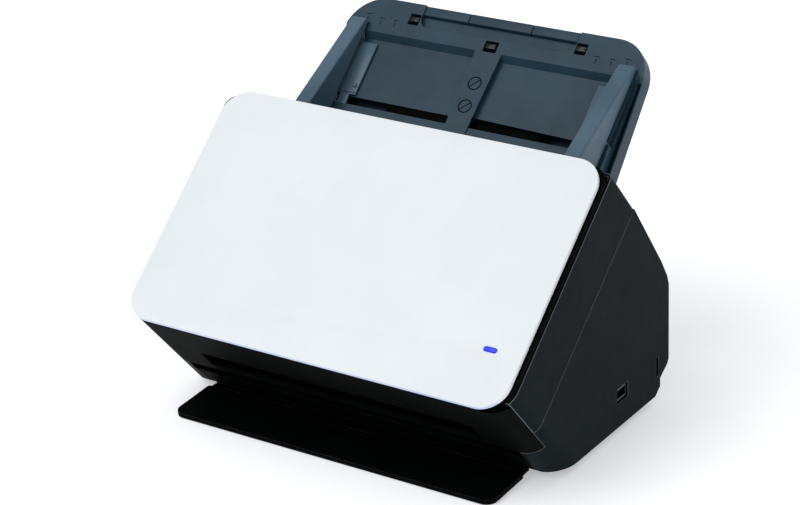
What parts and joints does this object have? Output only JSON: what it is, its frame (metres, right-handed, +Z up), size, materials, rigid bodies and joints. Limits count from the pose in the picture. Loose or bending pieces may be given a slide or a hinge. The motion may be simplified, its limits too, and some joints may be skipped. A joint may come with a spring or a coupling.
{
  "type": "sheet fed document scanner",
  "caption": "Wedge-shaped desktop document scanner with an opening front unit, a steep feed tray with sliding guides and pull-out extension, and a folding output tray.",
  "frame": {"origin": "middle of the bounding box in plan, at table height", "axes": "+X to the right seen from the front, -Y is the front, +Z up"},
  "size_m": [0.313, 0.2706, 0.2414],
  "materials": {
    "white_shell": "fine matt, slightly cool white",
    "blue_lens": "clear blue lens, lit",
    "black_trim": "fine matt moulding",
    "charcoal_shell": "fine matt moulding",
    "slate_tray": "satin moulding",
    "gloss_black": "polished",
    "rubber": "matt",
    "steel": "zinc plated",
    "acetal": "natural acetal",
    "scan_glass": "clear",
    "circuit_board": "solder mask"
  },
  "bodies": {
    "main": {"base_pan": "black_trim", "foot_front_left": "rubber", "foot_front_right": "rubber", "foot_rear_left": "rubber", "foot_rear_right": "rubber", "side_cover_left": "charcoal_shell", "side_cover_right": "charcoal_shell", "rear_cover": "charcoal_shell", "lower_front_cover": "black_trim", "pivot_pin_left": "steel", "pivot_pin_right": "steel", "rear_paper_guide": "black_trim", "rear_scan_unit": "black_trim", "rear_scan_glass": "scan_glass", "side_frame_left": "steel", "side_frame_right": "steel", "drive_motor": "steel", "main_board": "circuit_board", "network_port": "steel", "usb_b_port": "steel", "usb_a_port": "steel", "power_socket": "black_trim", "feed_tray": "slate_tray", "feed_tray_back": "slate_tray", "extension_catch_left": "gloss_black", "extension_catch_right": "gloss_black", "extension_catch_centre": "gloss_black"},
    "front_unit": {"front_panel": "white_shell", "front_frame": "black_trim", "front_unit_shell": "charcoal_shell", "front_paper_guide": "black_trim", "front_scan_unit": "black_trim", "front_scan_glass": "scan_glass", "button_board": "circuit_board", "retard_shaft": "steel"},
    "power_button": {"power_button": "blue_lens"},
    "release_lever": {"release_lever": "gloss_black"},
    "retard_roller": {"retard_roller": "rubber"},
    "pinch_upper": {"pinch_roller_upper": "acetal"},
    "pinch_lower": {"pinch_roller_lower": "acetal"},
    "feed_roller": {"feed_shaft": "steel", "feed_roller": "rubber", "feed_gear": "acetal"},
    "drive_roller": {"drive_shaft": "steel", "drive_roller_left": "rubber", "drive_roller_right": "rubber", "drive_gear": "acetal"},
    "eject_roller": {"eject_roller": "rubber", "eject_gear": "acetal"},
    "idler_upper": {"idler_gear_upper": "acetal"},
    "idler_lower": {"idler_gear_lower": "acetal"},
    "motor_pinion": {"motor_pinion": "steel"},
    "guide_left": {"guide_left": "slate_tray"},
    "guide_right": {"guide_right": "slate_tray"},
    "guide_pinion": {"guide_pinion": "acetal"},
    "feed_extension": {"feed_extension": "slate_tray"},
    "feed_extension_centre": {"feed_extension_centre": "slate_tray"},
    "output_tray": {"output_tray": "black_trim"},
    "output_extension": {"output_extension": "black_trim"}
  },
  "joints": [
    {"name": "front_unit_open", "type": "hinge", "parent": "main", "child": "front_unit", "pos_m": [0, -0.12627, 0.08596], "axis": [1, 0, 0], "range_deg": [0, 50]},
    {"name": "power_button_press", "type": "slide", "parent": "front_unit", "child": "power_button", "axis": [0, 0.6418, -0.7668], "range_m": [0, 0.0008]},
    {"name": "release_lever_slide", "type": "slide", "parent": "front_unit", "child": "release_lever", "axis": [0, 0.7668, 0.6418], "range_m": [0, 0.005]},
    {"name": "retard_spin", "type": "hinge", "parent": "front_unit", "child": "retard_roller", "pos_m": [0, -0.02044, 0.12623], "axis": [1, 0, 0], "continuous": true},
    {"name": "pinch_upper_spin", "type": "hinge", "parent": "front_unit", "child": "pinch_upper", "pos_m": [0, -0.04117, 0.10379], "axis": [1, 0, 0], "continuous": true},
    {"name": "pinch_lower_spin", "type": "hinge", "parent": "front_unit", "child": "pinch_lower", "pos_m": [0, -0.08964, 0.06323], "axis": [1, 0, 0], "continuous": true},
    {"name": "drive_spin", "type": "hinge", "parent": "main", "child": "drive_roller", "pos_m": [0, -0.02994, 0.09037], "axis": [1, 0, 0], "continuous": true},
    {"name": "feed_spin", "type": "hinge", "parent": "main", "child": "feed_roller", "pos_m": [0, -0.00285, 0.10522], "axis": [1, 0, 0], "continuous": true},
    {"name": "eject_spin", "type": "hinge", "parent": "main", "child": "eject_roller", "pos_m": [0, -0.07841, 0.04981], "axis": [1, 0, 0], "continuous": true},
    {"name": "idler_upper_spin", "type": "hinge", "parent": "main", "child": "idler_upper", "pos_m": [0, -0.00781, 0.07654], "axis": [1, 0, 0], "continuous": true},
    {"name": "idler_lower_spin", "type": "hinge", "parent": "main", "child": "idler_lower", "pos_m": [0, -0.04684, 0.06133], "axis": [1, 0, 0], "continuous": true},
    {"name": "motor_spin", "type": "hinge", "parent": "main", "child": "motor_pinion", "pos_m": [0, -0.02977, 0.04093], "axis": [1, 0, 0], "continuous": true},
    {"name": "guide_left_slide", "type": "slide", "parent": "main", "child": "guide_left", "axis": [1, 0, 0], "range_m": [0, 0.08]},
    {"name": "guide_right_slide", "type": "slide", "parent": "main", "child": "guide_right", "axis": [-1, 0, 0], "range_m": [0, 0.08]},
    {"name": "guide_pinion_spin", "type": "hinge", "parent": "main", "child": "guide_pinion", "pos_m": [0, 0.0567, 0.17289], "axis": [0, -0.6626, 0.749], "range_deg": [-600, 0]},
    {"name": "feed_extension_slide", "type": "slide", "parent": "main", "child": "feed_extension", "axis": [0, 0.749, 0.6626], "range_m": [0, 0.08]},
    {"name": "feed_extension_centre_slide", "type": "slide", "parent": "feed_extension", "child": "feed_extension_centre", "axis": [0, 0.749, 0.6626], "range_m": [0, 0.075]},
    {"name": "output_tray_fold", "type": "hinge", "parent": "main", "child": "output_tray", "pos_m": [0, -0.06933, 0.0042], "axis": [-1, 0, 0], "range_deg": [0, 50]},
    {"name": "output_extension_slide", "type": "slide", "parent": "output_tray", "child": "output_extension", "axis": [0, -0.9992, -0.0401], "range_m": [0, 0.022]}
  ],
  "couplings": [
    {"joint": "feed_spin", "follows": "drive_spin", "ratio": 0.8125},
    {"joint": "eject_spin", "follows": "drive_spin", "ratio": 1},
    {"joint": "idler_upper_spin", "follows": "drive_spin", "ratio": -1},
    {"joint": "idler_lower_spin", "follows": "drive_spin", "ratio": -0.63415},
    {"joint": "motor_spin", "follows": "drive_spin", "ratio": 2.1667},
    {"joint": "guide_right_slide", "follows": "guide_left_slide", "ratio": 1},
    {"joint": "guide_pinion_spin", "follows": "guide_left_slide", "rad_per_m": -125}
  ]
}
